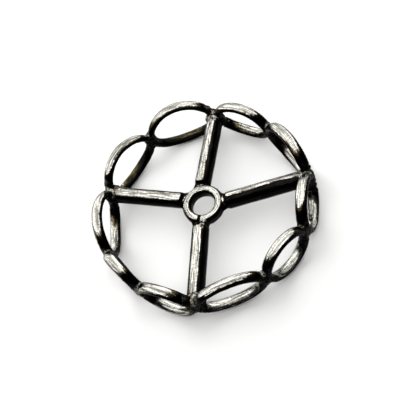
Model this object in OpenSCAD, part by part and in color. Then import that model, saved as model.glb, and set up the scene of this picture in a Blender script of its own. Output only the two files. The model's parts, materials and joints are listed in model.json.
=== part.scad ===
// Round spacer bead: a flat openwork wheel of soldered silver wire.
// A short hub ring carries the bore, four round spokes run out from it, and ten upright oval
// loops stand end to end as the rim. Millimetres, +Z along the bore, the bore's middle at the origin.
// The loops are bent by hand, so each has its own length, height and bow. Loop 1 is the one left of
// the top spoke, and the others follow anticlockwise. The whole bead is one soldered solid.

/* [Rim wire] */

// Mean distance from the bore axis to the joints between neighbouring loops
joint_radius = 10.65; // [9.5:0.05:12]

// Width of the flattened loop wire, across the rim
wire_width = 1.16; // [1:0.02:1.24]

// Thickness of the loop wire, in the plane of its loop
wire_thick = 0.7; // [0.6:0.02:0.8]

// How far neighbouring loops run into each other at a joint
loop_overlap = 0.2; // [0.1:0.02:0.3]

/* [Loop lengths] */

// Share of the rim taken by loop 1, left of the top spoke
share_1 = 41; // [28:0.5:42]

// Share of the rim taken by loop 2
share_2 = 40; // [28:0.5:42]

// Share of the rim taken by loop 3, below the left spoke
share_3 = 39; // [28:0.5:42]

// Share of the rim taken by loop 4
share_4 = 29.5; // [28:0.5:42]

// Share of the rim taken by loop 5, left of the bottom spoke
share_5 = 33; // [28:0.5:42]

// Share of the rim taken by loop 6, right of the bottom spoke
share_6 = 40; // [28:0.5:42]

// Share of the rim taken by loop 7
share_7 = 31; // [28:0.5:42]

// Share of the rim taken by loop 8, below the right spoke
share_8 = 31; // [28:0.5:42]

// Share of the rim taken by loop 9, above the right spoke
share_9 = 40; // [28:0.5:42]

// Share of the rim taken by loop 10, right of the top spoke
share_10 = 35.5; // [28:0.5:42]

/* [Loop heights] */

// Half height of loop 1, to the middle of its wire
height_1 = 2.5; // [2:0.05:2.8]

// Half height of loop 2
height_2 = 2.4; // [2:0.05:2.8]

// Half height of loop 3
height_3 = 2.4; // [2:0.05:2.8]

// Half height of loop 4
height_4 = 2.35; // [2:0.05:2.8]

// Half height of loop 5
height_5 = 2.3; // [2:0.05:2.8]

// Half height of loop 6
height_6 = 2.25; // [2:0.05:2.8]

// Half height of loop 7
height_7 = 2.35; // [2:0.05:2.8]

// Half height of loop 8
height_8 = 2.3; // [2:0.05:2.8]

// Half height of loop 9
height_9 = 2.6; // [2:0.05:2.8]

// Half height of loop 10
height_10 = 2.1; // [2:0.05:2.8]

/* [Loop bows] */

// How far loops 1 and 2 are bowed to the rim's curve, from 0 for flat to 1 for the full curve
bow_top_left = 1; // [0.1:0.05:1]

// The same for loops 3, 9 and 10
bow_sides = 0.65; // [0.1:0.05:1]

// The same for loops 4 and 5, while loops 6, 7 and 8 are flat
bow_bottom_left = 0.4; // [0.1:0.05:1]

// Outward lean of loop 1, in degrees
lean_1 = 4.5; // [0:0.5:6]

// Outward lean of loop 6, in degrees
lean_6 = 3; // [0:0.5:6]

// Inward lean of loop 8, in degrees
lean_8 = 2.5; // [0:0.5:6]

/* [Rim out of true] */

// How far the joint at the top spoke lies outside the mean radius
reach_top = 0; // [-0.4:0.05:0.4]

// The same for the joint between the top and left spokes
reach_top_left = 0.1; // [-0.4:0.05:0.4]

// The same for the joint at the left spoke
reach_left = 0.05; // [-0.4:0.05:0.4]

// The same for the joint below the left spoke
reach_low_left = 0.1; // [-0.4:0.05:0.4]

// The same for the joint beside the bottom spoke, on its left
reach_bottom_left = -0.2; // [-0.4:0.05:0.4]

// The same for the joint at the bottom spoke
reach_bottom = 0; // [-0.4:0.05:0.4]

// The same for the joint beside the bottom spoke, on its right
reach_bottom_right = -0.15; // [-0.4:0.05:0.4]

// The same for the joint at the right spoke and the one below it
reach_right = 0.2; // [-0.4:0.05:0.4]

// The same for the joint between the right and top spokes
reach_top_right = -0.35; // [-0.4:0.05:0.4]

/* [Spokes] */

// Diameter of the spokes
spoke_diameter = 1.65; // [1.2:0.05:1.8]

// From the bore axis to the middle of a spoke's rounded end at the hub
spoke_start = 2.8; // [2.5:0.05:2.85]

// How far the top spoke's hub end lies anticlockwise of its true line
side_top = 0.4; // [-0.5:0.05:0.5]

// The same for the left spoke
side_left = -0.25; // [-0.5:0.05:0.5]

// The same for the bottom spoke
side_bottom = -0.1; // [-0.5:0.05:0.5]

// The same for the right spoke
side_right = -0.15; // [-0.5:0.05:0.5]

/* [Hub ring] */

// Diameter of the bore
bore_diameter = 2.4; // [1.8:0.05:2.6]

// Outside diameter of the hub ring
hub_diameter = 4.25; // [4:0.05:4.4]

// Height of the hub ring
hub_height = 1.3; // [1.1:0.05:1.5]

// Radius of the hub ring's rounded rims
hub_edge = 0.4; // [0.2:0.02:0.44]

// Width of the butt seam in the hub ring's outer wall
seam_width = 0.14; // [0.1:0.02:0.3]

// Depth of the butt seam, inward from the outer wall
seam_depth = 0.3; // [0.1:0.05:0.4]

/* [Solder] */

// Diameter of the solder at a joint
joint_solder = 1; // [0.9:0.02:1.04]

// Height of the solder at a joint
joint_solder_height = 1.6; // [1.4:0.1:2]

// Widest half width of the solder web where a spoke meets the hub
web_half_width = 1.15; // [0.9:0.05:1.3]

// Length of the solder web along a spoke, from inside the hub ring
web_length = 1.4; // [1:0.05:1.6]

// Half height of the solder web at the hub
web_half_height = 0.5; // [0.3:0.05:0.6]

/* [Hidden] */

$fn = 64;

shares = [share_1, share_2, share_3, share_4, share_5, share_6, share_7, share_8, share_9, share_10];
heights = [
  height_1,
  height_2,
  height_3,
  height_4,
  height_5,
  height_6,
  height_7,
  height_8,
  height_9,
  height_10
];
bows = [
  bow_top_left,
  bow_top_left,
  bow_sides,
  bow_bottom_left,
  bow_bottom_left,
  0,
  0,
  0,
  bow_sides,
  bow_sides
];
leans = [lean_1, 0, 0, 0, 0, lean_6, 0, -lean_8, 0, 0];
loops = len(shares);

// Joints run anticlockwise from the one at the top spoke
reach = [
  reach_top,
  reach_top_left,
  reach_left,
  reach_low_left,
  reach_bottom_left,
  reach_bottom,
  reach_bottom_right,
  reach_right,
  reach_right,
  reach_top_right
];

// The joints that carry a spoke, and how far each spoke's hub end lies to the side
spoke_joints = [0, 2, 5, 8];
sides = [side_top, side_left, side_bottom, side_right];

// Sum of the first n shares
function summed(n) = n == 0 ? 0 : summed(n - 1) + shares[n - 1];

// Direction of joint k, in degrees, and its distance from the bore axis
function joint_angle(k) = 90 + 360 * summed(k) / summed(loops);
function joint_reach(k) = joint_radius + reach[k];
function joint_point(k) = joint_reach(k) * [cos(joint_angle(k)), sin(joint_angle(k)), 0];

// Depth of the rim's own curve over a loop of a given half length
function curve_depth(half) = joint_radius - sqrt(joint_radius * joint_radius - half * half);

spoke_radius = spoke_diameter / 2;
hub_middle = (bore_diameter + hub_diameter) / 4;
hub_wall = (hub_diameter - bore_diameter) / 2;
hub_straight = hub_height / 2 - hub_edge;
web_start = bore_diameter / 2 + 0.3;
silver = [0.36, 0.36, 0.37];

// The upper half of an oval loop of flattened wire, lying flat with its long axis along X
module half_loop(half_length, half_height)
  scale([half_length / half_height, 1, 1])
    rotate_extrude(angle = 180)
      translate([half_height, 0])
        scale([wire_thick / wire_width, 1])
          rotate([0, 0, 180])
            circle(r = wire_width / 2);

// One upright loop between joint k and the next one.
// Its two halves lean outward, which bows it to the rim's curve.
module rim_loop(k) {
  from = joint_point(k);
  to = joint_point((k + 1) % loops);
  middle = (from + to) / 2;
  along = atan2(to[1] - from[1], to[0] - from[0]);
  half = norm(to - from) / 2;
  half_length = half - wire_thick / 2 + loop_overlap / 2;
  bow = atan2(bows[k] * curve_depth(half), heights[k]);
  translate(middle)
    rotate([0, 0, along])
      rotate([90 + leans[k], 0, 0])
        for (turn = [bow, 180 - bow])
          rotate([turn, 0, 0])
            half_loop(half_length, heights[k]);
}

// Solder at a joint, an upright bead with round ends
module joint_bead(k) {
  radius = joint_solder / 2;
  reach_up = joint_solder_height / 2 - radius;
  translate(joint_point(k)) {
    translate([0, 0, -reach_up])
      cylinder(r = radius, h = 2 * reach_up);
    for (z = [-reach_up, reach_up])
      translate([0, 0, z])
        sphere(r = radius);
  }
}

// A round spoke with rounded ends, from beside +X at the hub out to a joint at the given distance
module spoke(to_joint, side) {
  end = to_joint - 0.5;
  run = norm([end - spoke_start, side]);
  translate([spoke_start, side, 0])
    rotate([0, 0, -atan2(side, end - spoke_start)]) {
      for (x = [0, run])
        translate([x, 0, 0])
          sphere(r = spoke_radius);
      rotate([0, 90, 0])
        cylinder(r = spoke_radius, h = run);
    }
}

// A low web of solder that widens from a spoke's side into the hub ring
module hub_web(side)
  translate([web_start, side, 0])
    rotate([0, 90, 0])
      scale([web_half_height / web_half_width, 1, 1])
        cylinder(r1 = web_half_width, r2 = spoke_radius * 0.8, h = web_length);

// The hub ring, a band with rounded rims
module hub_ring()
  rotate_extrude()
    translate([hub_middle, 0]) {
      square([hub_wall, 2 * hub_straight], center = true);
      square([hub_wall - 2 * hub_edge, hub_height], center = true);
      for (x = [-1, 1], y = [-1, 1])
        translate([x * (hub_wall / 2 - hub_edge), y * hub_straight])
          circle(r = hub_edge);
    }

// The butt seam in the hub ring's outer wall, beside the bottom spoke
module hub_seam()
  rotate([0, 0, joint_angle(5) - 24])
    translate([hub_diameter / 2 - seam_depth, -seam_width / 2, 0.1])
      cube([1, seam_width, hub_height]);

module bead_frame()
  color(silver)
    difference() {
      union() {
        for (k = [0 : loops - 1]) {
          rim_loop(k);
          joint_bead(k);
        }
        for (i = [0 : 3])
          rotate([0, 0, joint_angle(spoke_joints[i])]) {
            spoke(joint_reach(spoke_joints[i]), sides[i]);
            hub_web(sides[i]);
          }
        hub_ring();
      }
      translate([0, 0, -hub_height])
        cylinder(d = bore_diameter, h = 2 * hub_height);
      hub_seam();
    }

bead_frame();
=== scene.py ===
# Round spacer bead: an open wheel of soldered silver wire, blackened and then worn bright.
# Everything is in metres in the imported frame: +Z along the bore, the bore's middle at the origin.
# Joints and loops are counted anticlockwise, from the joint at the top spoke.

import json
import math

import bmesh
import bpy
import numpy as np
from bpy.props import FloatProperty, FloatVectorProperty, IntProperty, PointerProperty
from mathutils import Matrix, Vector, noise


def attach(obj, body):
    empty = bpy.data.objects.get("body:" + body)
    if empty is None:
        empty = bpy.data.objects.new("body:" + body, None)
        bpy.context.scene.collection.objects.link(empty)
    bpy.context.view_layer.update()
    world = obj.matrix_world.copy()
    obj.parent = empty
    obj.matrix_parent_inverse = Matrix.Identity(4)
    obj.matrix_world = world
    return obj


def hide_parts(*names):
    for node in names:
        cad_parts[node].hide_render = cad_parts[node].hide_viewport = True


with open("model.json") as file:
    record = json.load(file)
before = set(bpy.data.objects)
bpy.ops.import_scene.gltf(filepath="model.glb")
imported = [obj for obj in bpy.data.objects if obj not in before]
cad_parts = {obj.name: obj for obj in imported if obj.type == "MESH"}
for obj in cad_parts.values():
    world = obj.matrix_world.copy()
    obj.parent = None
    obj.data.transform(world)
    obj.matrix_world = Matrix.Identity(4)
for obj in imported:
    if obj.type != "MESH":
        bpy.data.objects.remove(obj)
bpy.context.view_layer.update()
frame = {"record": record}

bl_info = {
    "name": "Openwork Spacer Bead",
    "version": (1, 0, 0),
    "blender": (4, 5, 0),
    "location": "View3D > Sidebar > Bead",
    "description": "Builds a soldered wire spacer bead with an antiqued silver finish",
    "category": "Add Mesh",
}

BODY = "root"
NODE = "bead_frame"
FINISH = "antiqued_silver"
LOOPS = 10
SPOKE_JOINTS = (0, 2, 5, 8)
BOTTOM_SPOKE = 5
MM = 0.001

# Directions round the bore, from +X: the most handled side, where the outer faces also get a
# painted reflection of the bright floor;
# the side the soft light comes from, where faces turned that way get a painted highlight; and the
# side where the loops' low inner faces get painted shade
HANDLED_AND_REFLECTING_SIDE = math.radians(190)
LIGHT_SIDE = math.radians(122)
PAINTED_SHADE_SIDE = math.radians(125)

# How far a spoke stops short of its joint, before its round tip
SPOKE_SHORT = 0.5 * MM

# Solder where a spoke meets the rim: how far inside the joint, and half its size each way
CORNER_INSIDE = 0.5 * MM
CORNER_SIZE = (0.8 * MM, 1.1 * MM, 0.88 * MM)

# Lump of solder where the bottom spoke meets the ring, on the side away from the seam:
# its place, and half its size each way
LUMP_FROM_SPOKE = math.radians(7)
LUMP_OUTSIDE = 0.3 * MM
LUMP_UP = 0.5 * MM
LUMP_SIZE = (0.42 * MM, 0.42 * MM, 0.3 * MM)

# Where the solder webs start, outside the bore, their height beside their width,
# and their half width at the far end beside a spoke's diameter
WEB_START = 0.3 * MM
WEB_FLATNESS = 0.48
WEB_TIP_SHARE = 0.4

# How far from a joint its solder shows, at a spoke and between two loops
SPOKE_SOLDER_REACH = 1.25 * MM
LOOP_SOLDER_REACH = 0.8 * MM

# Half the width and the depth of the ring's seam
SEAM_HALF_WIDTH = 0.11 * MM
SEAM_DEPTH = 0.25 * MM

# A melted skin with fewer points than this has lost its pieces
FEWEST_POINTS = 1000

bore = next(mount for mount in frame["record"]["mounts"] if mount["name"] == "bore")


class RimSizes(bpy.types.PropertyGroup):
    """Sizes of the ten upright oval loops that make the rim."""

    joint_radius: FloatProperty(
        name="Joint Radius", description="Mean distance from the bore axis to the joints",
        default=10.65 * MM, min=9 * MM, unit="LENGTH", precision=5)
    shares: FloatVectorProperty(
        name="Shares", description="Share of the rim taken by each loop",
        size=LOOPS, default=(41, 40, 39, 29.5, 33, 40, 31, 31, 40, 35.5))
    reach: FloatVectorProperty(
        name="Reach", description="How far each joint lies outside the joint radius",
        size=LOOPS, unit="LENGTH", precision=5,
        default=[x * MM for x in (0, 0.1, 0.05, 0.1, -0.2, 0, -0.15, 0.2, 0.2, -0.35)])
    heights: FloatVectorProperty(
        name="Half Heights", description="Half height of each loop to the middle of its wire",
        size=LOOPS, unit="LENGTH", precision=5,
        default=[x * MM for x in (2.5, 2.4, 2.4, 2.35, 2.3, 2.25, 2.35, 2.3, 2.6, 2.1)])
    bows: FloatVectorProperty(
        name="Bows", description="How far each loop follows the rim's curve, 1 for all the way",
        size=LOOPS, default=(1, 1, 0.65, 0.4, 0.4, 0, 0.05, 0.05, 0.65, 0.65))
    leans: FloatVectorProperty(
        name="Leans", description="Outward lean of each loop", size=LOOPS, unit="ROTATION",
        default=[math.radians(x) for x in (4.5, 0, 0, 0, 0, 3, 0, -2.5, 0, 0)])
    wire_width: FloatProperty(
        name="Wire Width", description="Width of the flattened wire, across the rim",
        default=1.16 * MM, min=0.5 * MM, unit="LENGTH", precision=5)
    wire_thick: FloatProperty(
        name="Wire Thickness", description="Thickness of the wire in the plane of its loop",
        default=0.7 * MM, min=0.4 * MM, unit="LENGTH", precision=5)
    overlap: FloatProperty(
        name="Overlap", description="How far neighbouring loops melt into each other",
        default=0.2 * MM, unit="LENGTH", precision=5)
    wobble: FloatProperty(
        name="Wobble", description="How far hand bending moves the wire off its true line",
        default=0.035 * MM, min=0, unit="LENGTH", precision=6)
    seed: IntProperty(name="Seed", description="Seed of the hand bending", default=7)


class SpokeSizes(bpy.types.PropertyGroup):
    """Sizes of the four round spokes."""

    diameter: FloatProperty(
        name="Diameter", description="Diameter of a spoke",
        default=1.65 * MM, min=1 * MM, unit="LENGTH", precision=5)
    stouter: FloatVectorProperty(
        name="Stouter", description="How many times thicker each spoke is, with its patina",
        size=len(SPOKE_JOINTS), default=(1.02, 1.01, 1.055, 1.055))
    start: FloatProperty(
        name="Start", description="From the bore axis to the middle of a spoke's rounded end",
        default=2.8 * MM, unit="LENGTH", precision=5)
    sides: FloatVectorProperty(
        name="Sides", description="How far each spoke's hub end lies to the side of its true line",
        size=len(SPOKE_JOINTS), unit="LENGTH", precision=5,
        default=[x * MM for x in (0.4, -0.25, -0.1, -0.15)])
    end_round: FloatProperty(
        name="End Round", description="Length of the rounding at a spoke's hub end",
        default=0.25 * MM, unit="LENGTH", precision=5)
    # Each spoke's worn face is turned to where the painted highlight from the soft light falls
    worn_and_highlight_turns: FloatVectorProperty(
        name="Worn Faces", description="How far round each spoke its worn face is turned",
        size=len(SPOKE_JOINTS), unit="ROTATION",
        default=[math.radians(x) for x in (14, -2, -8, 31)])


class HubSizes(bpy.types.PropertyGroup):
    """Sizes of the hub ring."""

    bore_radius: FloatProperty(
        name="Bore Radius", description="Radius of the bore, from the packed record",
        default=bore["dims"]["r_mm"] * MM, unit="LENGTH", precision=5)
    diameter: FloatProperty(
        name="Diameter", description="Outside diameter of the hub ring",
        default=4.25 * MM, unit="LENGTH", precision=5)
    height: FloatProperty(
        name="Height", description="Height of the hub ring",
        default=1.3 * MM, unit="LENGTH", precision=5)
    edge: FloatProperty(
        name="Edge", description="Radius of the hub ring's rounded rims",
        default=0.4 * MM, unit="LENGTH", precision=5)
    seam_from_spoke: FloatProperty(
        name="Seam", description="Angle from the bottom spoke back to the ring's butt seam",
        default=math.radians(7), subtype="ANGLE")


class SolderSizes(bpy.types.PropertyGroup):
    """Sizes of the solder and of the melted skin."""

    joint_diameter: FloatProperty(
        name="Joint Diameter", description="Diameter of the solder at a joint between loops",
        default=1.04 * MM, unit="LENGTH", precision=5)
    joint_height: FloatProperty(
        name="Joint Height", description="Height of the solder at a joint between loops",
        default=1.9 * MM, unit="LENGTH", precision=5)
    web_half_width: FloatProperty(
        name="Web Half Width", description="Half width of a solder web at the hub",
        default=1.15 * MM, unit="LENGTH", precision=5)
    web_length: FloatProperty(
        name="Web Length", description="Length of the solder web along a spoke",
        default=1.4 * MM, unit="LENGTH", precision=5)
    grid: FloatProperty(
        name="Skin Grid", description="Spacing of the points on the melted skin",
        default=0.102 * MM, min=0.05 * MM, unit="LENGTH", precision=6)


class FinishColours(bpy.types.PropertyGroup):
    """Colours of the antiqued silver."""

    # Silver shows where wear took the black off and also as painted highlight; patina also stands
    # as painted shade on the loops' inner faces towards one side
    silver: FloatVectorProperty(
        name="Silver", description="Where wear has taken the black off",
        size=3, subtype="COLOR", min=0, max=1, default=(0.57, 0.56, 0.505))
    patina: FloatVectorProperty(
        name="Patina", description="Blackened silver in the hollows and on the sides",
        size=3, subtype="COLOR", min=0, max=1, default=(0.008, 0.008, 0.0075))
    brass: FloatVectorProperty(
        name="Brass", description="Warm tint of the solder and of thin patina",
        size=3, subtype="COLOR", min=0, max=1, default=(0.16, 0.12, 0.055))


class StageSizes(bpy.types.PropertyGroup):
    """Camera, lights and floor."""

    camera_distance: FloatProperty(
        name="Distance", description="From the camera to the bore's middle",
        default=81.65 * MM, unit="LENGTH")
    camera_azimuth: FloatProperty(
        name="Azimuth", description="Direction of the camera round the bore, from +X",
        default=math.radians(-53.18), subtype="ANGLE")
    camera_elevation: FloatProperty(
        name="Elevation", description="Height of the camera above the rim's plane",
        default=math.radians(57.16), subtype="ANGLE")
    camera_roll: FloatProperty(
        name="Roll", description="Turn of the camera about its own axis",
        default=math.radians(33.99), subtype="ANGLE")
    lens: FloatProperty(name="Lens", description="Focal length", default=70.97, unit="CAMERA")
    key_azimuth: FloatProperty(
        name="Light Azimuth", description="Direction of the large soft light, from +X",
        default=math.radians(123), subtype="ANGLE")
    key_elevation: FloatProperty(
        name="Light Elevation", description="Height of the large soft light",
        default=math.radians(52), subtype="ANGLE")
    key_distance: FloatProperty(
        name="Light Distance", description="From the soft light's middle to the bead",
        default=130 * MM, unit="LENGTH")
    key_spread: FloatProperty(
        name="Light Spread", description="Half angle that the soft light fills, seen from the bead",
        default=math.radians(60), subtype="ANGLE")
    key_power: FloatProperty(
        name="Light Power", description="Power of the large soft light", default=1.2, unit="POWER")
    fill_power: FloatProperty(
        name="Fill Power", description="Power of the light that fills the shadows on the floor",
        default=0.5, unit="POWER")
    pale: FloatVectorProperty(
        name="Floor", description="Colour of the plain floor",
        size=3, subtype="COLOR", min=0, max=1, default=(0.7, 0.7, 0.69))


class Field:
    """A node socket in Python arithmetic: an expression adds its Math or Vector Math nodes."""

    def __init__(self, nodes, socket):
        self.nodes, self.socket = nodes, socket

    def __add__(self, other):
        return self.nodes.calculate("ADD", self, other)

    def __radd__(self, other):
        return self.nodes.calculate("ADD", other, self)

    def __sub__(self, other):
        return self.nodes.calculate("SUBTRACT", self, other)

    def __rsub__(self, other):
        return self.nodes.calculate("SUBTRACT", other, self)

    def __mul__(self, other):
        return self.nodes.calculate("MULTIPLY", self, other)

    def __rmul__(self, other):
        return self.nodes.calculate("MULTIPLY", other, self)

    def to(self, low, high, out_low=0.0, out_high=1.0):
        """Maps a value smoothly from one range to another."""
        return self.nodes.add(
            "ShaderNodeMapRange", {"interpolation_type": "SMOOTHSTEP"},
            {"Value": self, "From Min": low, "From Max": high,
             "To Min": out_low, "To Max": out_high})


class Nodes:
    """Adds nodes to one tree."""

    def __init__(self, tree):
        self.tree = tree

    def add(self, kind, settings=None, sockets=None, output=None):
        """Adds a node: its settings, then its sockets' values or links. Gives one output."""
        node = self.tree.nodes.new(kind)
        for name, value in (settings or {}).items():
            setattr(node, name, value)
        for key, value in (sockets or {}).items():
            self.feed(self.find(node.inputs, key), value)
        return Field(self, self.find(node.outputs, output)) if node.outputs else node

    def find(self, sockets, key):
        """The socket with a name, an identifier or a number, or the first one in use."""
        if isinstance(key, int):
            return sockets[key]
        return next(s for s in sockets if s.enabled and key in (None, s.name, s.identifier))

    def feed(self, socket, value):
        """Links a field to a socket, or sets its value."""
        if isinstance(value, Field):
            self.tree.links.new(value.socket, socket)
        elif isinstance(value, (int, float)) and socket.type in ("VECTOR", "RGBA"):
            socket.default_value = [value] * len(socket.default_value)
        elif isinstance(value, tuple) and socket.type == "RGBA":
            socket.default_value = (*value[:3], 1)
        else:
            socket.default_value = value

    def calculate(self, operation, *values, output=None):
        """One Math node, or one Vector Math node where a value is a vector."""
        vectors = [
            value for value in values if isinstance(value, tuple)
            or isinstance(value, Field) and value.socket.type in ("VECTOR", "RGBA")]
        kind = "ShaderNodeVectorMath" if vectors else "ShaderNodeMath"
        return self.add(kind, {"operation": operation}, dict(enumerate(values)), output)

    def noise(self, where, size, detail, roughness):
        """Noise between 0 and 1 whose blotches are about the given size."""
        return self.add("ShaderNodeTexNoise", {"noise_dimensions": "3D"}, {
            "Vector": where, "Scale": 1 / size, "Detail": detail, "Roughness": roughness})

    def mix(self, factor, first, second, blend="MIX"):
        """Mixes two colours."""
        return self.add("ShaderNodeMix", {"data_type": "RGBA", "blend_type": blend}, {
            "Factor_Float": factor, "A_Color": first, "B_Color": second})


def new_geometry_tree(name, inputs):
    """A Geometry Nodes tree with named inputs. Gives its nodes and its input fields."""
    tree = bpy.data.node_groups.new(name, "GeometryNodeTree")
    for socket_name, kind in inputs.items():
        tree.interface.new_socket(socket_name, in_out="INPUT", socket_type=kind)
    tree.interface.new_socket("Geometry", in_out="OUTPUT", socket_type="NodeSocketGeometry")
    nodes = Nodes(tree)
    given = nodes.add("NodeGroupInput").socket.node
    return nodes, {s.name: Field(nodes, s) for s in given.outputs if s.name}


def plain_mesh(thing, modifier):
    """The mesh that a modifier makes of an object, with the modifier removed."""
    state = bpy.context.evaluated_depsgraph_get()
    mesh = bpy.data.meshes.new_from_object(thing.evaluated_get(state))
    thing.modifiers.remove(modifier)
    return mesh


def settled(maker, tree, values):
    """Runs a Geometry Nodes tree on an object and gives the result as a plain mesh."""
    modifier = maker.modifiers.new(tree.name, "NODES")
    modifier.node_group = tree
    for item in tree.interface.items_tree:
        if item.in_out == "INPUT" and item.name in values:
            modifier[item.identifier] = values[item.name]
    return plain_mesh(maker, modifier)


def place(name, data):
    """Puts a mesh, a light or a camera in the scene as an object at the origin."""
    thing = bpy.data.objects.new(name, data)
    bpy.context.scene.collection.objects.link(thing)
    return thing


def shaped_mesh(name, work):
    """Turns a BMesh into a mesh and frees it."""
    mesh = bpy.data.meshes.new(name)
    work.to_mesh(mesh)
    work.free()
    return mesh


def joint_angles(rim):
    """Direction of each joint round the bore."""
    total = sum(rim.shares)
    return [math.radians(90 + 360 * sum(rim.shares[:k]) / total) for k in range(LOOPS)]


def joint_points(rim):
    """Places of the ten joints, at half the rim's height."""
    return [
        Vector((math.cos(a), math.sin(a), 0)) * (rim.joint_radius + rim.reach[k])
        for k, a in enumerate(joint_angles(rim))]


def turned(profile, segments=40):
    """A solid turned about X from (distance, radius) points, with closed ends."""
    work = bmesh.new()
    rings = []
    for x, radius in profile:
        if radius < 1e-9:
            rings.append([work.verts.new((x, 0, 0))])
            continue
        turns = [2 * math.pi * i / segments for i in range(segments)]
        rings.append([
            work.verts.new((x, radius * math.cos(t), radius * math.sin(t))) for t in turns])
    for one, two in zip(rings, rings[1:]):
        for i in range(segments):
            j = (i + 1) % segments
            corners = [one[i % len(one)], one[j % len(one)], two[j % len(two)], two[i % len(two)]]
            work.faces.new(list(dict.fromkeys(corners)))
    bmesh.ops.recalc_face_normals(work, faces=work.faces)
    return work


def add_turned(work, profile, *moves):
    """Adds a turned solid to a BMesh, after moving it by each matrix in order."""
    piece = turned(profile)
    for move in moves:
        piece.transform(move)
    mesh = shaped_mesh("turned", piece)
    work.from_mesh(mesh)
    bpy.data.meshes.remove(mesh)


def spoke_profile(radius, hub_face, run, end_round, number):
    """Outline of a spoke: a low neck in the ring, a blunt end, an uneven rod and a round tip."""
    neck_reach, neck_share = 0.2 * MM, 0.45
    blunt_share, rounded_share = 0.7, 0.3
    uneven, rod_steps, arc_steps = 0.02, 24, 8
    arc = [math.pi / 2 * i / arc_steps for i in range(arc_steps + 1)]
    tip = hub_face + neck_reach + end_round
    profile = [(hub_face - neck_reach, 0), (hub_face - neck_reach, radius * neck_share)]
    for a in arc:
        share = blunt_share + rounded_share * math.sin(a)
        profile.append((tip - end_round * math.cos(a), radius * share))
    for i in range(1, rod_steps):
        x = tip + (run - tip) * i / rod_steps
        profile.append((x, radius * (1 + uneven * noise.noise((x / MM, 3.1 * number, 0.4)))))
    profile += [(run + radius * math.sin(a), radius * math.cos(a)) for a in arc]
    return profile


def ring_profile(hub):
    """Outline of the hub ring's section as (radius, height) points, from its outer side upwards."""
    inner, outer, top, edge = hub.bore_radius, hub.diameter / 2, hub.height / 2, hub.edge
    steps = 6
    profile = []
    for quarter, (x, z) in enumerate(((outer, top), (inner, top), (inner, -top), (outer, -top))):
        middle = Vector((x - edge if x == outer else x + edge, z - math.copysign(edge, z)))
        for i in range(steps + 1):
            a = math.pi / 2 * (quarter + i / steps)
            profile.append((middle.x + edge * math.cos(a), middle.y + edge * math.sin(a)))
    return profile


def loop_tree():
    """Upright oval loops from joint to joint, bowed to the rim's curve, of flattened wire."""
    sizes = ("Wire Width", "Wire Thickness", "Overlap", "Wobble", "Seed")
    nodes, given = new_geometry_tree("upright_oval_loops", {
        "Joints": "NodeSocketGeometry", **dict.fromkeys(sizes, "NodeSocketFloat"),
        "Material": "NodeSocketMaterial"})
    here = nodes.add("GeometryNodeInputPosition")
    number = nodes.add("GeometryNodeInputIndex")
    after = nodes.add("GeometryNodeSampleIndex", {"data_type": "FLOAT_VECTOR"}, {
        "Geometry": given["Joints"], "Value": here,
        "Index": nodes.calculate("MODULO", number + 1, LOOPS)})
    marked = given["Joints"]
    for name, kind, value in (("from", "FLOAT_VECTOR", here), ("to", "FLOAT_VECTOR", after)):
        marked = nodes.add(
            "GeometryNodeStoreNamedAttribute", {"data_type": kind, "domain": "POINT"},
            {"Geometry": marked, "Name": name, "Value": value})
    circle = nodes.add("GeometryNodeCurvePrimitiveCircle", {"mode": "RADIUS"}, {"Resolution": 120})
    rings = nodes.add("GeometryNodeInstanceOnPoints", sockets={
        "Points": marked, "Instance": circle})
    rings = nodes.add("GeometryNodeRealizeInstances", sockets={"Geometry": rings})

    def kept(name, kind="FLOAT_VECTOR"):
        return nodes.add(
            "GeometryNodeInputNamedAttribute", {"data_type": kind}, {"Name": name}, "Attribute")

    start, end = kept("from"), kept("to")
    turn = nodes.add("GeometryNodeSplineParameter", output="Factor") * (2 * math.pi)
    across, up = nodes.calculate("COSINE", turn), nodes.calculate("SINE", turn)
    half = nodes.calculate("LENGTH", end - start, output="Value") * 0.5
    radius = nodes.calculate("LENGTH", start, output="Value")
    depth = radius - nodes.calculate("SQRT", radius * radius - half * half)
    along = nodes.calculate("NORMALIZE", end - start)
    outward = nodes.calculate("CROSS_PRODUCT", along, (0.0, 0.0, 1.0))
    height = up * kept("height", "FLOAT")
    leaning = height * nodes.calculate("TANGENT", kept("lean", "FLOAT"))
    bulge = depth * kept("bow", "FLOAT") * up * up + leaning
    line = (start + end) * 0.5
    half_line = half - given["Wire Thickness"] * 0.5 + given["Overlap"] * 0.5
    line = line + along * (across * half_line)
    line = line + outward * bulge
    line = line + nodes.add("ShaderNodeCombineXYZ", sockets={"Z": height})

    # Hand bending moves the line, and its lumps make the wire a little thicker and thinner
    bend_size, lump_size, thinnest, lumpiness = 1.7 * MM, 1.1 * MM, 0.96, 0.08
    shift = nodes.add("ShaderNodeTexNoise", {"noise_dimensions": "4D"}, {
        "Vector": line, "W": given["Seed"], "Scale": 1 / bend_size, "Detail": 1.0}, "Color") - 0.5
    line = line + shift * (given["Wobble"] * 2)
    rings = nodes.add("GeometryNodeSetPosition", sockets={"Geometry": rings, "Position": line})
    rings = nodes.add("GeometryNodeSetCurveNormal", {"mode": "FREE"}, {
        "Curve": rings, "Normal": outward})
    lumps = nodes.add("ShaderNodeTexNoise", {"noise_dimensions": "4D"}, {
        "Vector": here, "W": given["Seed"] + 3.0, "Scale": 1 / lump_size, "Detail": 2.0}, "Fac")
    section = nodes.add("GeometryNodeCurvePrimitiveCircle", {"mode": "RADIUS"}, {
        "Resolution": 32, "Radius": 0.5})
    size = nodes.add("ShaderNodeCombineXYZ", sockets={
        "X": given["Wire Width"], "Y": given["Wire Thickness"], "Z": 1.0})
    section = nodes.add("GeometryNodeTransform", sockets={"Geometry": section, "Scale": size})
    wire = nodes.add("GeometryNodeCurveToMesh", sockets={
        "Curve": rings, "Profile Curve": section, "Scale": thinnest + lumps * lumpiness})
    wire = nodes.add("GeometryNodeRealizeInstances", sockets={"Geometry": wire})
    wire = nodes.add("GeometryNodeSetMaterial", sockets={
        "Geometry": wire, "Material": given["Material"]})
    nodes.add("NodeGroupOutput", sockets={"Geometry": wire})
    return nodes.tree


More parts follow.
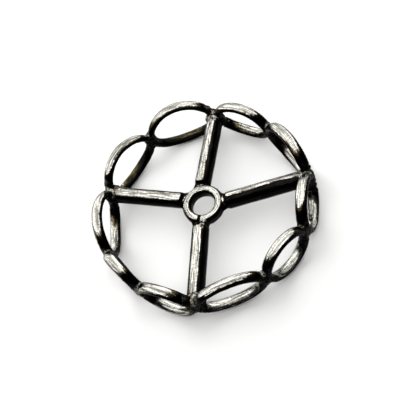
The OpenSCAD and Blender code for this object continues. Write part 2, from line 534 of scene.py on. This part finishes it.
def silver_material(colours):
    """Blackened silver worn bright on its upper surfaces and painted brighter where faces turn
    towards the soft light, with draw marks, scratches and pits.
    """
    material = bpy.data.materials.new(FINISH)
    material.use_nodes = True
    material.node_tree.nodes.clear()
    nodes = Nodes(material.node_tree)

    def kept(name, output):
        return nodes.add("ShaderNodeAttribute", {"attribute_name": name}, output=output)

    place_in = nodes.add("ShaderNodeTexCoord", output="Object")
    # The facing mark holds wear together with painted highlight, painted reflection and painted
    # shade
    grain, wear_and_painted_light, solder = kept("grain", "Vector"), kept("wear_and_painted_light", "Fac"), kept("solder", "Fac")

    # Draw marks and fine scratches run along the wire, the rest is spread evenly
    drawn = nodes.noise(grain * (1.0, 8.0, 8.0), size=1.7 * MM, detail=3.0, roughness=0.6)
    hair = nodes.noise(grain * (1.0, 24.0, 24.0) + 0.5, size=2.6 * MM, detail=2.0, roughness=0.6)
    cloud = nodes.noise(place_in, size=1.5 * MM, detail=3.0, roughness=0.55)
    speck = nodes.noise(place_in, size=0.2 * MM, detail=3.0, roughness=0.65)
    grit = nodes.noise(place_in + 0.03, size=0.32 * MM, detail=3.0, roughness=0.7)
    tint = nodes.noise(place_in + 0.01, size=1.8 * MM, detail=2.0, roughness=0.5)

    # Worn metal, carrying painted highlight too, ends at a ragged border, broken by scratches and
    # pits, and on solder is only specks
    edge = wear_and_painted_light + (cloud - 0.5) * 0.4 + (drawn - 0.5) * 0.4 + (speck - 0.5) * 0.3
    unscratched = 1 - hair.to(0.62, 0.72) * 0.8
    unpitted = 1 - speck.to(0.66, 0.74) * 0.7
    polished_and_lit = edge.to(0.46, 0.54) * unscratched * unpitted
    lump = (speck * 0.6 + grit * 0.4).to(0.47, 0.53) * wear_and_painted_light.to(0.05, 0.4)
    rough_solder = solder.to(0.4, 0.7)
    worn_and_lit = polished_and_lit * (1 - rough_solder) + lump * rough_solder * 0.8
    thin = edge.to(0.28, 0.45) * (1 - worn_and_lit)

    # Brass shows through thin patina and on solder, and the marks darken or lighten what they cross
    colour = nodes.mix(worn_and_lit, tuple(colours.patina), tuple(colours.silver))
    colour = nodes.mix(thin * tint.to(0.38, 0.58) * 0.7, colour, tuple(colours.brass))
    brassy_solder = solder * tint.to(0.5, 0.65) * grit.to(0.45, 0.7) * 0.35
    colour = nodes.mix(brassy_solder, colour, tuple(colours.brass))
    shade = drawn.to(0.34, 0.62, 0.35, 1.15) * hair.to(0.35, 0.6, 1.15, 0.5)
    shade = shade * speck.to(0.38, 0.62, 0.7, 1.1)
    grey = nodes.add("ShaderNodeCombineXYZ", sockets={"X": shade, "Y": shade, "Z": shade})
    colour = nodes.mix(1.0, colour, grey, "MULTIPLY")

    rough = 0.13 + (1 - worn_and_lit) * 0.05 + (hair - 0.5) * 0.1 + speck * 0.05 + rough_solder * 0.14
    scratches = (drawn - 0.5) * 0.9 + (hair - 0.5) * 0.4
    relief = scratches + (speck - 0.5) * 0.3 + (grit - 0.5) * rough_solder * 3.0 + cloud * 0.8
    bump = nodes.add("ShaderNodeBump", sockets={
        "Strength": 1.0, "Distance": 0.035 * MM, "Height": relief})
    shader = nodes.add("ShaderNodeBsdfPrincipled", sockets={
        "Base Color": colour, "Metallic": 1.0, "Roughness": rough, "Specular Tint": (0.6, 0.6, 0.6),
        "Normal": bump})
    nodes.add("ShaderNodeOutputMaterial", sockets={"Surface": shader})
    return material


def skin_points(mesh):
    """The points of a mesh as an array."""
    points = np.empty(len(mesh.vertices) * 3)
    mesh.vertices.foreach_get("co", points)
    return points.reshape(-1, 3)


def skin_normals(mesh):
    """The direction out of a mesh at each of its points, as an array."""
    normals = np.empty(len(mesh.vertices) * 3)
    mesh.vertex_normals.foreach_get("vector", normals)
    return normals.reshape(-1, 3)


def move_skin(mesh, points):
    """Puts the points of a mesh in new places."""
    mesh.vertices.foreach_set("co", points.ravel())
    mesh.update()


def softened(mesh, points, amount, rounds):
    """Moves each point towards the middle of its neighbours, by an amount for each point."""
    edges = np.empty(len(mesh.edges) * 2, int)
    mesh.edges.foreach_get("vertices", edges)
    one, two = edges.reshape(-1, 2).T
    count = np.bincount(one, minlength=len(points)) + np.bincount(two, minlength=len(points))
    for _ in range(rounds):
        middle = np.empty_like(points)
        for axis in range(3):
            after = np.bincount(one, points[two, axis], len(points))
            before = np.bincount(two, points[one, axis], len(points))
            middle[:, axis] = (after + before) / count
        points = points + (middle - points) * amount[:, None]
    return points


def mark_skin(mesh, name, kind, values):
    """Stores one value for each point of a mesh."""
    layer = mesh.attributes.new(name, kind, "POINT")
    values = np.ascontiguousarray(values, dtype=np.float32)
    layer.data.foreach_set("vector" if kind == "FLOAT_VECTOR" else "value", values.ravel())


def along_and_across(vectors, angle):
    """Length of each vector along a direction round the bore, and across it."""
    along = vectors[:, 0] * math.cos(angle) + vectors[:, 1] * math.sin(angle)
    across = vectors[:, 1] * math.cos(angle) - vectors[:, 0] * math.sin(angle)
    return along, across


def grain_of(points, rim, spokes, hub):
    """For each point: length along the nearest wire, spoke or ring, and two distances across it."""
    joints = joint_points(rim)
    best = np.full(len(points), 1e9)
    grain = np.zeros((len(points), 3))
    # Each loop and spoke starts its lengths elsewhere, so no two have the same marks
    loop_start, spoke_start = 31 * MM, 17 * MM
    out_of_reach = 1
    ring_half_thickness = 0.3 * MM

    def offer(distance, along, side, other):
        nearer = distance < best
        best[nearer] = distance[nearer]
        grain[nearer] = np.stack([along, side, other], 1)[nearer]

    for k in range(LOOPS):
        start, end = joints[k], joints[(k + 1) % LOOPS]
        run = end - start
        half = run.length / 2
        run.normalize()
        out = run.cross(Vector((0, 0, 1)))
        local = points - np.array((start + end) / 2)
        x, z, o = local @ np.array(run), local[:, 2], local @ np.array(out)
        tall = rim.heights[k]
        turn = np.arctan2(z / tall, x / half)
        bow = rim.bows[k] * (rim.joint_radius - math.sqrt(rim.joint_radius ** 2 - half ** 2))
        wire_x, wire_z = half * np.cos(turn), tall * np.sin(turn)
        side = np.hypot(x, z) - np.hypot(wire_x, wire_z)
        other = o - bow * np.sin(turn) ** 2
        offer(np.hypot(side, other), turn * (half + tall) / 2 + k * loop_start, side, other)
    for k in SPOKE_JOINTS:
        along, side = along_and_across(points, joint_angles(rim)[k])
        distance = np.hypot(side, points[:, 2])
        distance = distance + np.where(along < spokes.start - spokes.diameter / 2, out_of_reach, 0)
        offer(distance - spokes.diameter / 4, along + k * spoke_start, side, points[:, 2])
    reach = np.hypot(points[:, 0], points[:, 1])
    turn = np.arctan2(points[:, 1], points[:, 0])
    middle = (hub.bore_radius + hub.diameter / 2) / 2
    distance = np.hypot(reach - middle, points[:, 2]) - ring_half_thickness
    offer(distance, turn * middle, reach - middle, points[:, 2])
    return grain


def hub_lump(rim, hub):
    """Middle of the lump of solder where the bottom spoke meets the ring."""
    angle = joint_angles(rim)[BOTTOM_SPOKE] + LUMP_FROM_SPOKE
    outward = Vector((math.cos(angle), math.sin(angle), 0))
    return outward * (hub.diameter / 2 + LUMP_OUTSIDE) + Vector((0, 0, LUMP_UP))


def solder_of(points, rim, hub):
    """For each point: 1 on solder, 0 on clean wire."""
    upright, fade, strength = 0.62, 1.5, 1.7
    lump_strength, lump_reach = 0.9, 0.9 * MM
    mark = np.zeros(len(points))
    for k, joint in enumerate(joint_points(rim)):
        reach = SPOKE_SOLDER_REACH if k in SPOKE_JOINTS else LOOP_SOLDER_REACH
        away = points - np.array(joint)
        distance = np.sqrt(away[:, 0] ** 2 + away[:, 1] ** 2 + (away[:, 2] * upright) ** 2)
        mark = np.maximum(mark, 1 - distance / reach / fade)
    from_lump = np.linalg.norm(points - np.array(hub_lump(rim, hub)), axis=1)
    mark = np.maximum(mark, lump_strength - from_lump / lump_reach)
    return np.clip(mark * strength, 0, 1)


def contrast(amount, border, gain):
    """A half at the border between black and metal that is worn and painted lit, and more or less
    on its two sides.
    """
    return 0.5 + (amount - border) * gain


def wear_and_light_of(points, normals, rim, spokes, hub):
    """For each point: over a half where wear and a painted highlight reach it, under a half where
    the black stays and painted shade falls.
    """
    reach = np.hypot(points[:, 0], points[:, 1])
    turn = np.arctan2(points[:, 1], points[:, 0])
    flat = np.abs(normals[:, 2])
    hub_radius = hub.diameter / 2
    # Faces turned towards the soft light get a painted highlight
    towards_light, _ = along_and_across(normals, LIGHT_SIDE)

    # The rim is worn on its flats and on its outside, and faces turned towards the soft light get a
    # painted highlight.
    # The outside gets more towards the handled side, partly as a painted reflection of the bright
    # floor, and the inner faces of its loops get a painted highlight away from the shaded side and
    # painted shade towards it
    outward = (normals[:, 0] * points[:, 0] + normals[:, 1] * points[:, 1]) / reach
    handled_and_reflecting = 0.5 + 0.5 * np.cos(turn - HANDLED_AND_REFLECTING_SIDE)
    away_from_painted_shade = 0.5 - 0.5 * np.cos(turn - PAINTED_SHADE_SIDE)
    inside = np.clip(-normals[:, 2] * np.sign(points[:, 2]) * 2.5, 0, 1)
    inside = inside * np.clip(np.abs(points[:, 2]) / MM - 0.5, 0, 1)
    # Outer faces are worn all round, and brighter towards the handled side, partly as a painted
    # reflection of the bright floor
    outside = np.clip(outward, 0, 1) * (0.3 + 0.65 * handled_and_reflecting)
    rim_wear_and_light = np.hypot(flat, outside) + 0.2 * towards_light
    # Inner faces of the loops: painted highlight away from the shaded side, painted shade towards
    # it
    rim_wear_and_light = rim_wear_and_light * (1 + inside * (0.78 * away_from_painted_shade - 0.28))
    wear_and_light = contrast(rim_wear_and_light, border=0.82, gain=1.4)

    # A spoke is worn along one face, turned to where a painted highlight falls, up to its dark
    # ends: patina in the joints and painted shade
    half_width, black_at_rim, black_at_hub, black = 1.2 * MM, 0.9 * MM, 0.2 * MM, 0.1
    for k, tilt in zip(SPOKE_JOINTS, spokes.worn_and_highlight_turns):
        angle = joint_angles(rim)[k]
        along, across = along_and_across(points, angle)
        _, sideways = along_and_across(normals, angle)
        face = sideways * math.sin(tilt) + flat * math.cos(tilt)
        worn_and_lit = contrast(face, border=0.89, gain=3.2)
        here = (np.abs(across) < half_width) & (along > 0) & (reach > hub_radius)
        here &= along < joint_points(rim)[k].length - black_at_rim
        wear_and_light = np.where(here, np.where(along > hub_radius + black_at_hub, worn_and_lit, black), wear_and_light)

    # The hub ring is worn on its flats, with a painted highlight on faces turned towards the soft
    # light
    on_hub = reach < hub_radius + 0.02 * MM
    return np.where(on_hub, contrast(flat + 0.15 * towards_light, border=0.87, gain=1.8), wear_and_light)


def lumps_at(points, size, wanted):
    """Smooth random lumps of about the given size, at the wanted points."""
    return np.array([noise.noise(Vector(p) / size) if w else 0 for p, w in zip(points, wanted)])


def unevenness(points, mark):
    """How far the melted skin stands out at each point: slightly on wire, ragged on solder."""
    lump_size, ragged_size, ragged_from = 0.9 * MM, 0.3 * MM, 0.3
    on_wire, more_on_solder, ragged_height = 0.008, 0.03, 0.13
    lumps = lumps_at(points, lump_size, np.ones(len(points), bool))
    ragged = lumps_at(points, ragged_size, mark > ragged_from)
    ragged = ragged * ragged_height * np.clip(mark * 2 - 0.5, 0, 1)
    return (lumps * (on_wire + more_on_solder * mark) + ragged) * MM


def seam_of(points, reach, rim, hub):
    """For each point: 1 in the hub ring's butt seam, 0 outside it."""
    past_ring, bore_wall, fade = 0.1 * MM, 0.04 * MM, 0.2 * MM
    turn = np.arctan2(points[:, 1], points[:, 0])
    seam_at = joint_angles(rim)[BOTTOM_SPOKE] - hub.seam_from_spoke
    from_seam = np.abs((turn - seam_at + math.pi) % (2 * math.pi) - math.pi) * reach
    seam = np.exp(-(from_seam / SEAM_HALF_WIDTH) ** 4) * (reach < hub.diameter / 2 + past_ring)
    return seam * (reach > hub.bore_radius + bore_wall) * np.clip(points[:, 2] / fade, 0, 1)


class BEAD_OT_rim_loops(bpy.types.Operator):
    """Bends the ten upright oval loops of the rim"""

    bl_idname = "bead.rim_loops"
    bl_label = "Rim Loops"

    def execute(self, context):
        rim = context.scene.bead_rim
        joints = bpy.data.meshes.new("joints")
        joints.from_pydata(joint_points(rim), [], [])
        mark_skin(joints, "height", "FLOAT", rim.heights)
        mark_skin(joints, "bow", "FLOAT", rim.bows)
        mark_skin(joints, "lean", "FLOAT", rim.leans)
        maker = place("rim_loops", joints)
        mesh = settled(maker, loop_tree(), {
            "Wire Width": rim.wire_width, "Wire Thickness": rim.wire_thick,
            "Overlap": rim.overlap, "Wobble": rim.wobble, "Seed": float(rim.seed),
            "Material": bpy.data.materials[FINISH]})
        maker.data = mesh
        if not mesh.polygons:
            raise RuntimeError("the rim loops came out empty")
        return {"FINISHED"}


class BEAD_OT_spokes(bpy.types.Operator):
    """Cuts the four round spokes and lays them from the hub to the rim"""

    bl_idname = "bead.spokes"
    bl_label = "Spokes"

    def execute(self, context):
        scene = context.scene
        rim, spokes, hub = scene.bead_rim, scene.bead_spokes, scene.bead_hub
        hub_face = hub.diameter / 2 - spokes.start
        work = bmesh.new()
        for k, side, stouter in zip(SPOKE_JOINTS, spokes.sides, spokes.stouter):
            radius = spokes.diameter / 2 * stouter
            reach = joint_points(rim)[k].length - SPOKE_SHORT - spokes.start
            run = math.hypot(reach, side)
            add_turned(
                work, spoke_profile(radius, hub_face, run, spokes.end_round, k),
                Matrix.Rotation(-math.atan2(side, reach), 4, "Z"),
                Matrix.Translation((spokes.start, side, 0)),
                Matrix.Rotation(joint_angles(rim)[k], 4, "Z"))
        place("spokes", shaped_mesh("spokes", work))
        return {"FINISHED"}


class BEAD_OT_hub_ring(bpy.types.Operator):
    """Bends the hub ring round the bore"""

    bl_idname = "bead.hub_ring"
    bl_label = "Hub Ring"

    def execute(self, context):
        profile = ring_profile(context.scene.bead_hub)
        work = bmesh.new()
        turns = 96
        rings = []
        for t in range(turns):
            a = 2 * math.pi * t / turns
            c, s = math.cos(a), math.sin(a)
            rings.append([work.verts.new((r * c, r * s, z)) for r, z in profile])
        for t in range(turns):
            one, two = rings[t], rings[(t + 1) % turns]
            for i in range(len(profile)):
                j = (i + 1) % len(profile)
                work.faces.new((one[i], two[i], two[j], one[j]))
        bmesh.ops.recalc_face_normals(work, faces=work.faces)
        place("hub_ring", shaped_mesh("hub_ring", work))
        return {"FINISHED"}


class BEAD_OT_solder(bpy.types.Operator):
    """Melts solder into the joints of the rim and between the spokes and the hub"""

    bl_idname = "bead.solder"
    bl_label = "Solder"

    def execute(self, context):
        scene = context.scene
        rim, spokes, hub = scene.bead_rim, scene.bead_spokes, scene.bead_hub
        solder = scene.bead_solder
        work = bmesh.new()
        lump_spacing, lumpiness = 0.7 * MM, 0.08

        def drop(middle, size, turn=0.0):
            shape = Matrix.Translation(middle) @ Matrix.Rotation(turn, 4, "Z")
            shape = shape @ Matrix.Diagonal((*size, 1))
            made = bmesh.ops.create_icosphere(work, subdivisions=4, radius=1.0, matrix=shape)
            for vert in made["verts"]:
                lump = noise.noise(vert.co / lump_spacing) * lumpiness
                vert.co += (vert.co - Vector(middle)) * lump

        joint_size = (solder.joint_diameter / 2, solder.joint_diameter / 2, solder.joint_height / 2)
        for k, joint in enumerate(joint_points(rim)):
            angle = joint_angles(rim)[k]
            drop(joint, joint_size, angle)
            if k in SPOKE_JOINTS:
                drop(joint * (1 - CORNER_INSIDE / joint.length), CORNER_SIZE, angle)
        drop(hub_lump(rim, hub), LUMP_SIZE)
        inner = hub.bore_radius + WEB_START
        outer = inner + solder.web_length
        tip_radius = spokes.diameter * WEB_TIP_SHARE
        web = [(inner, 0), (inner, solder.web_half_width), (outer, tip_radius), (outer, 0)]
        for k, side in zip(SPOKE_JOINTS, spokes.sides):
            add_turned(
                work, web,
                Matrix.Diagonal((1, 1, WEB_FLATNESS, 1)),
                Matrix.Translation((0, side, 0)),
                Matrix.Rotation(joint_angles(rim)[k], 4, "Z"))
        place("solder", shaped_mesh("solder", work))
        return {"FINISHED"}


class BEAD_OT_melt_together(bpy.types.Operator):
    """Melts loops, spokes, ring and solder into one skin and gives it the antiqued finish"""

    bl_idname = "bead.melt_together"
    bl_label = "Melt Together"

    def execute(self, context):
        scene = context.scene
        rim, spokes, hub = scene.bead_rim, scene.bead_spokes, scene.bead_hub
        work = bmesh.new()
        for name in ("rim_loops", "spokes", "hub_ring", "solder"):
            part = bpy.data.objects[name]
            work.from_mesh(part.data)
            bpy.data.objects.remove(part)
        bead = place("soldered_bead", shaped_mesh("unmelted", work))
        melt = bead.modifiers.new("melt", "REMESH")
        melt.mode = "VOXEL"
        melt.voxel_size = scene.bead_solder.grid
        skin = plain_mesh(bead, melt)
        bead.data = skin
        if len(skin.vertices) < FEWEST_POINTS:
            raise RuntimeError("the melted skin came out empty")

        # The whole skin is smoothed a little, and solder and the fillets round the ring much more
        points = skin_points(skin)
        mark = solder_of(points, rim, hub)
        reach = np.hypot(points[:, 0], points[:, 1])
        fillet_from_ring, fillet_width = 0.2 * MM, 0.9 * MM
        from_fillet = np.abs(reach - hub.diameter / 2 - fillet_from_ring)
        near_hub = np.clip(1 - from_fillet / fillet_width, 0, 1)
        everywhere = np.full(len(points), 0.35)
        melted = np.clip(mark * 1.2 - 0.4 + near_hub * 0.2, 0, 0.6)
        points = softened(skin, points, everywhere, rounds=2)
        points = softened(skin, points, melted, rounds=10)
        move_skin(skin, points)

        normals = skin_normals(skin)
        points = points + normals * unevenness(points, mark)[:, None]
        seam = seam_of(points, reach, rim, hub)
        points = points - normals * (seam * SEAM_DEPTH)[:, None]
        move_skin(skin, points)

        mark_skin(skin, "grain", "FLOAT_VECTOR", grain_of(points, rim, spokes, hub))
        # The facing mark holds wear together with painted highlight, painted reflection and painted
        # shade
        mark_skin(skin, "wear_and_painted_light", "FLOAT", wear_and_light_of(points, normals, rim, spokes, hub) - seam)
        mark_skin(skin, "solder", "FLOAT", mark)
        skin.polygons.foreach_set("use_smooth", np.ones(len(skin.polygons), bool))
        skin.materials.clear()
        skin.materials.append(bpy.data.materials[FINISH])
        skin.polygons.foreach_set("material_index", np.zeros(len(skin.polygons), int))
        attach(bead, BODY)
        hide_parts(NODE)
        return {"FINISHED"}


class BEAD_OT_finish(bpy.types.Operator):
    """Mixes the antiqued silver finish"""

    bl_idname = "bead.finish"
    bl_label = "Antiqued Silver"

    def execute(self, context):
        silver_material(context.scene.bead_colours)
        return {"FINISHED"}


def direction(azimuth, elevation):
    """A unit vector by its angle round the bore from +X and its angle above the rim's plane."""
    level = math.cos(elevation)
    return Vector((level * math.cos(azimuth), level * math.sin(azimuth), math.sin(elevation)))


def soft_light(name, where, size, power):
    """A round soft light that faces the bead and isn't seen by the camera."""
    lamp = bpy.data.lights.new(name, "AREA")
    lamp.shape = "DISK"
    lamp.size = size
    lamp.energy = power
    light = place(name, lamp)
    light.location = where
    light.rotation_euler = (-where).to_track_quat("-Z", "Y").to_euler()
    light.visible_camera = False
    return light


def lay_floor(stage):
    """Lays the plain floor under the bead's lowest point."""
    mesh = bpy.data.meshes.new("floor")
    half = 0.6
    corners = [(x, y, 0) for x, y in ((-half, -half), (half, -half), (half, half), (-half, half))]
    mesh.from_pydata(corners, [], [(0, 1, 2, 3)])
    lowest = min(vert.co.z for vert in bpy.data.objects["soldered_bead"].data.vertices)
    mesh.transform(Matrix.Translation((0, 0, lowest)))
    pale = bpy.data.materials.new("pale_floor")
    pale.use_nodes = True
    pale.node_tree.nodes.clear()
    nodes = Nodes(pale.node_tree)
    shader = nodes.add("ShaderNodeBsdfPrincipled", sockets={
        "Base Color": tuple(stage.pale), "Roughness": 0.6})
    nodes.add("ShaderNodeOutputMaterial", sockets={"Surface": shader})
    mesh.materials.append(pale)
    floor = place("floor", mesh)


def set_camera(stage):
    """Aims the camera at the bore's middle. A small shift frames the bead off the centre."""
    full_frame_width = 36
    nearest, farthest = 0.001, 10
    lens = bpy.data.cameras.new("camera")
    lens.lens = stage.lens
    lens.sensor_width = full_frame_width
    lens.shift_x, lens.shift_y = 0.0099, -0.0061
    lens.clip_start, lens.clip_end = nearest, farthest
    camera = place("camera", lens)
    back = direction(stage.camera_azimuth, stage.camera_elevation)
    right = Vector((-math.sin(stage.camera_azimuth), math.cos(stage.camera_azimuth), 0))
    up = back.cross(right)
    c, s = math.cos(stage.camera_roll), math.sin(stage.camera_roll)
    axes = Matrix((right * c - up * s, right * s + up * c, back)).transposed()
    camera.matrix_world = Matrix.Translation(back * stage.camera_distance) @ axes.to_4x4()
    return camera


class BEAD_OT_stage(bpy.types.Operator):
    """Lays the plain pale floor and sets the soft lights and the camera"""

    bl_idname = "bead.stage"
    bl_label = "Stage"

    def execute(self, context):
        scene, stage = context.scene, context.scene.bead_stage
        lay_floor(stage)

        key_size = 2 * stage.key_distance * math.tan(stage.key_spread)
        key_place = direction(stage.key_azimuth, stage.key_elevation) * stage.key_distance
        soft_light("soft_light", key_place, key_size, stage.key_power)

        fill_elevation, fill_distance, fill_size = math.radians(65), 0.4, 0.3
        fill_place = direction(stage.camera_azimuth, fill_elevation) * fill_distance
        fill = soft_light("floor_fill", fill_place, fill_size, stage.fill_power)
        fill.visible_glossy = False

        dim_grey = (0.03, 0.03, 0.032, 1)
        room = bpy.data.worlds.new("dim_room")
        room.use_nodes = True
        room.node_tree.nodes["Background"].inputs["Color"].default_value = dim_grey
        scene.world = room

        scene.camera = set_camera(stage)
        scene.view_settings.view_transform = "Standard"
        return {"FINISHED"}


class BEAD_PT_panel(bpy.types.Panel):
    """Lists the bead's steps and sizes"""

    bl_idname = "BEAD_PT_panel"
    bl_label = "Spacer Bead"
    bl_space_type = "VIEW_3D"
    bl_region_type = "UI"
    bl_category = "Bead"

    def draw(self, context):
        column = self.layout.column()
        for step in STEPS:
            column.operator(step.bl_idname)
        for group in GROUPS:
            sizes = getattr(context.scene, group)
            for name in sizes.bl_rna.properties.keys():
                if name not in ("rna_type", "name"):
                    column.prop(sizes, name)


GROUPS = {
    "bead_rim": RimSizes, "bead_spokes": SpokeSizes, "bead_hub": HubSizes,
    "bead_solder": SolderSizes, "bead_colours": FinishColours, "bead_stage": StageSizes}
STEPS = (
    BEAD_OT_finish, BEAD_OT_rim_loops, BEAD_OT_spokes, BEAD_OT_hub_ring,
    BEAD_OT_solder, BEAD_OT_melt_together, BEAD_OT_stage)


def register():
    for kind in (*GROUPS.values(), *STEPS, BEAD_PT_panel):
        bpy.utils.register_class(kind)
    for name, kind in GROUPS.items():
        setattr(bpy.types.Scene, name, PointerProperty(type=kind))


def unregister():
    for name in GROUPS:
        delattr(bpy.types.Scene, name)
    for kind in reversed((*GROUPS.values(), *STEPS, BEAD_PT_panel)):
        bpy.utils.unregister_class(kind)


def main():
    register()
    bpy.ops.bead.finish()
    bpy.ops.bead.rim_loops()
    bpy.ops.bead.spokes()
    bpy.ops.bead.hub_ring()
    bpy.ops.bead.solder()
    bpy.ops.bead.melt_together()
    bpy.ops.bead.stage()


if __name__ == "__main__":
    main()
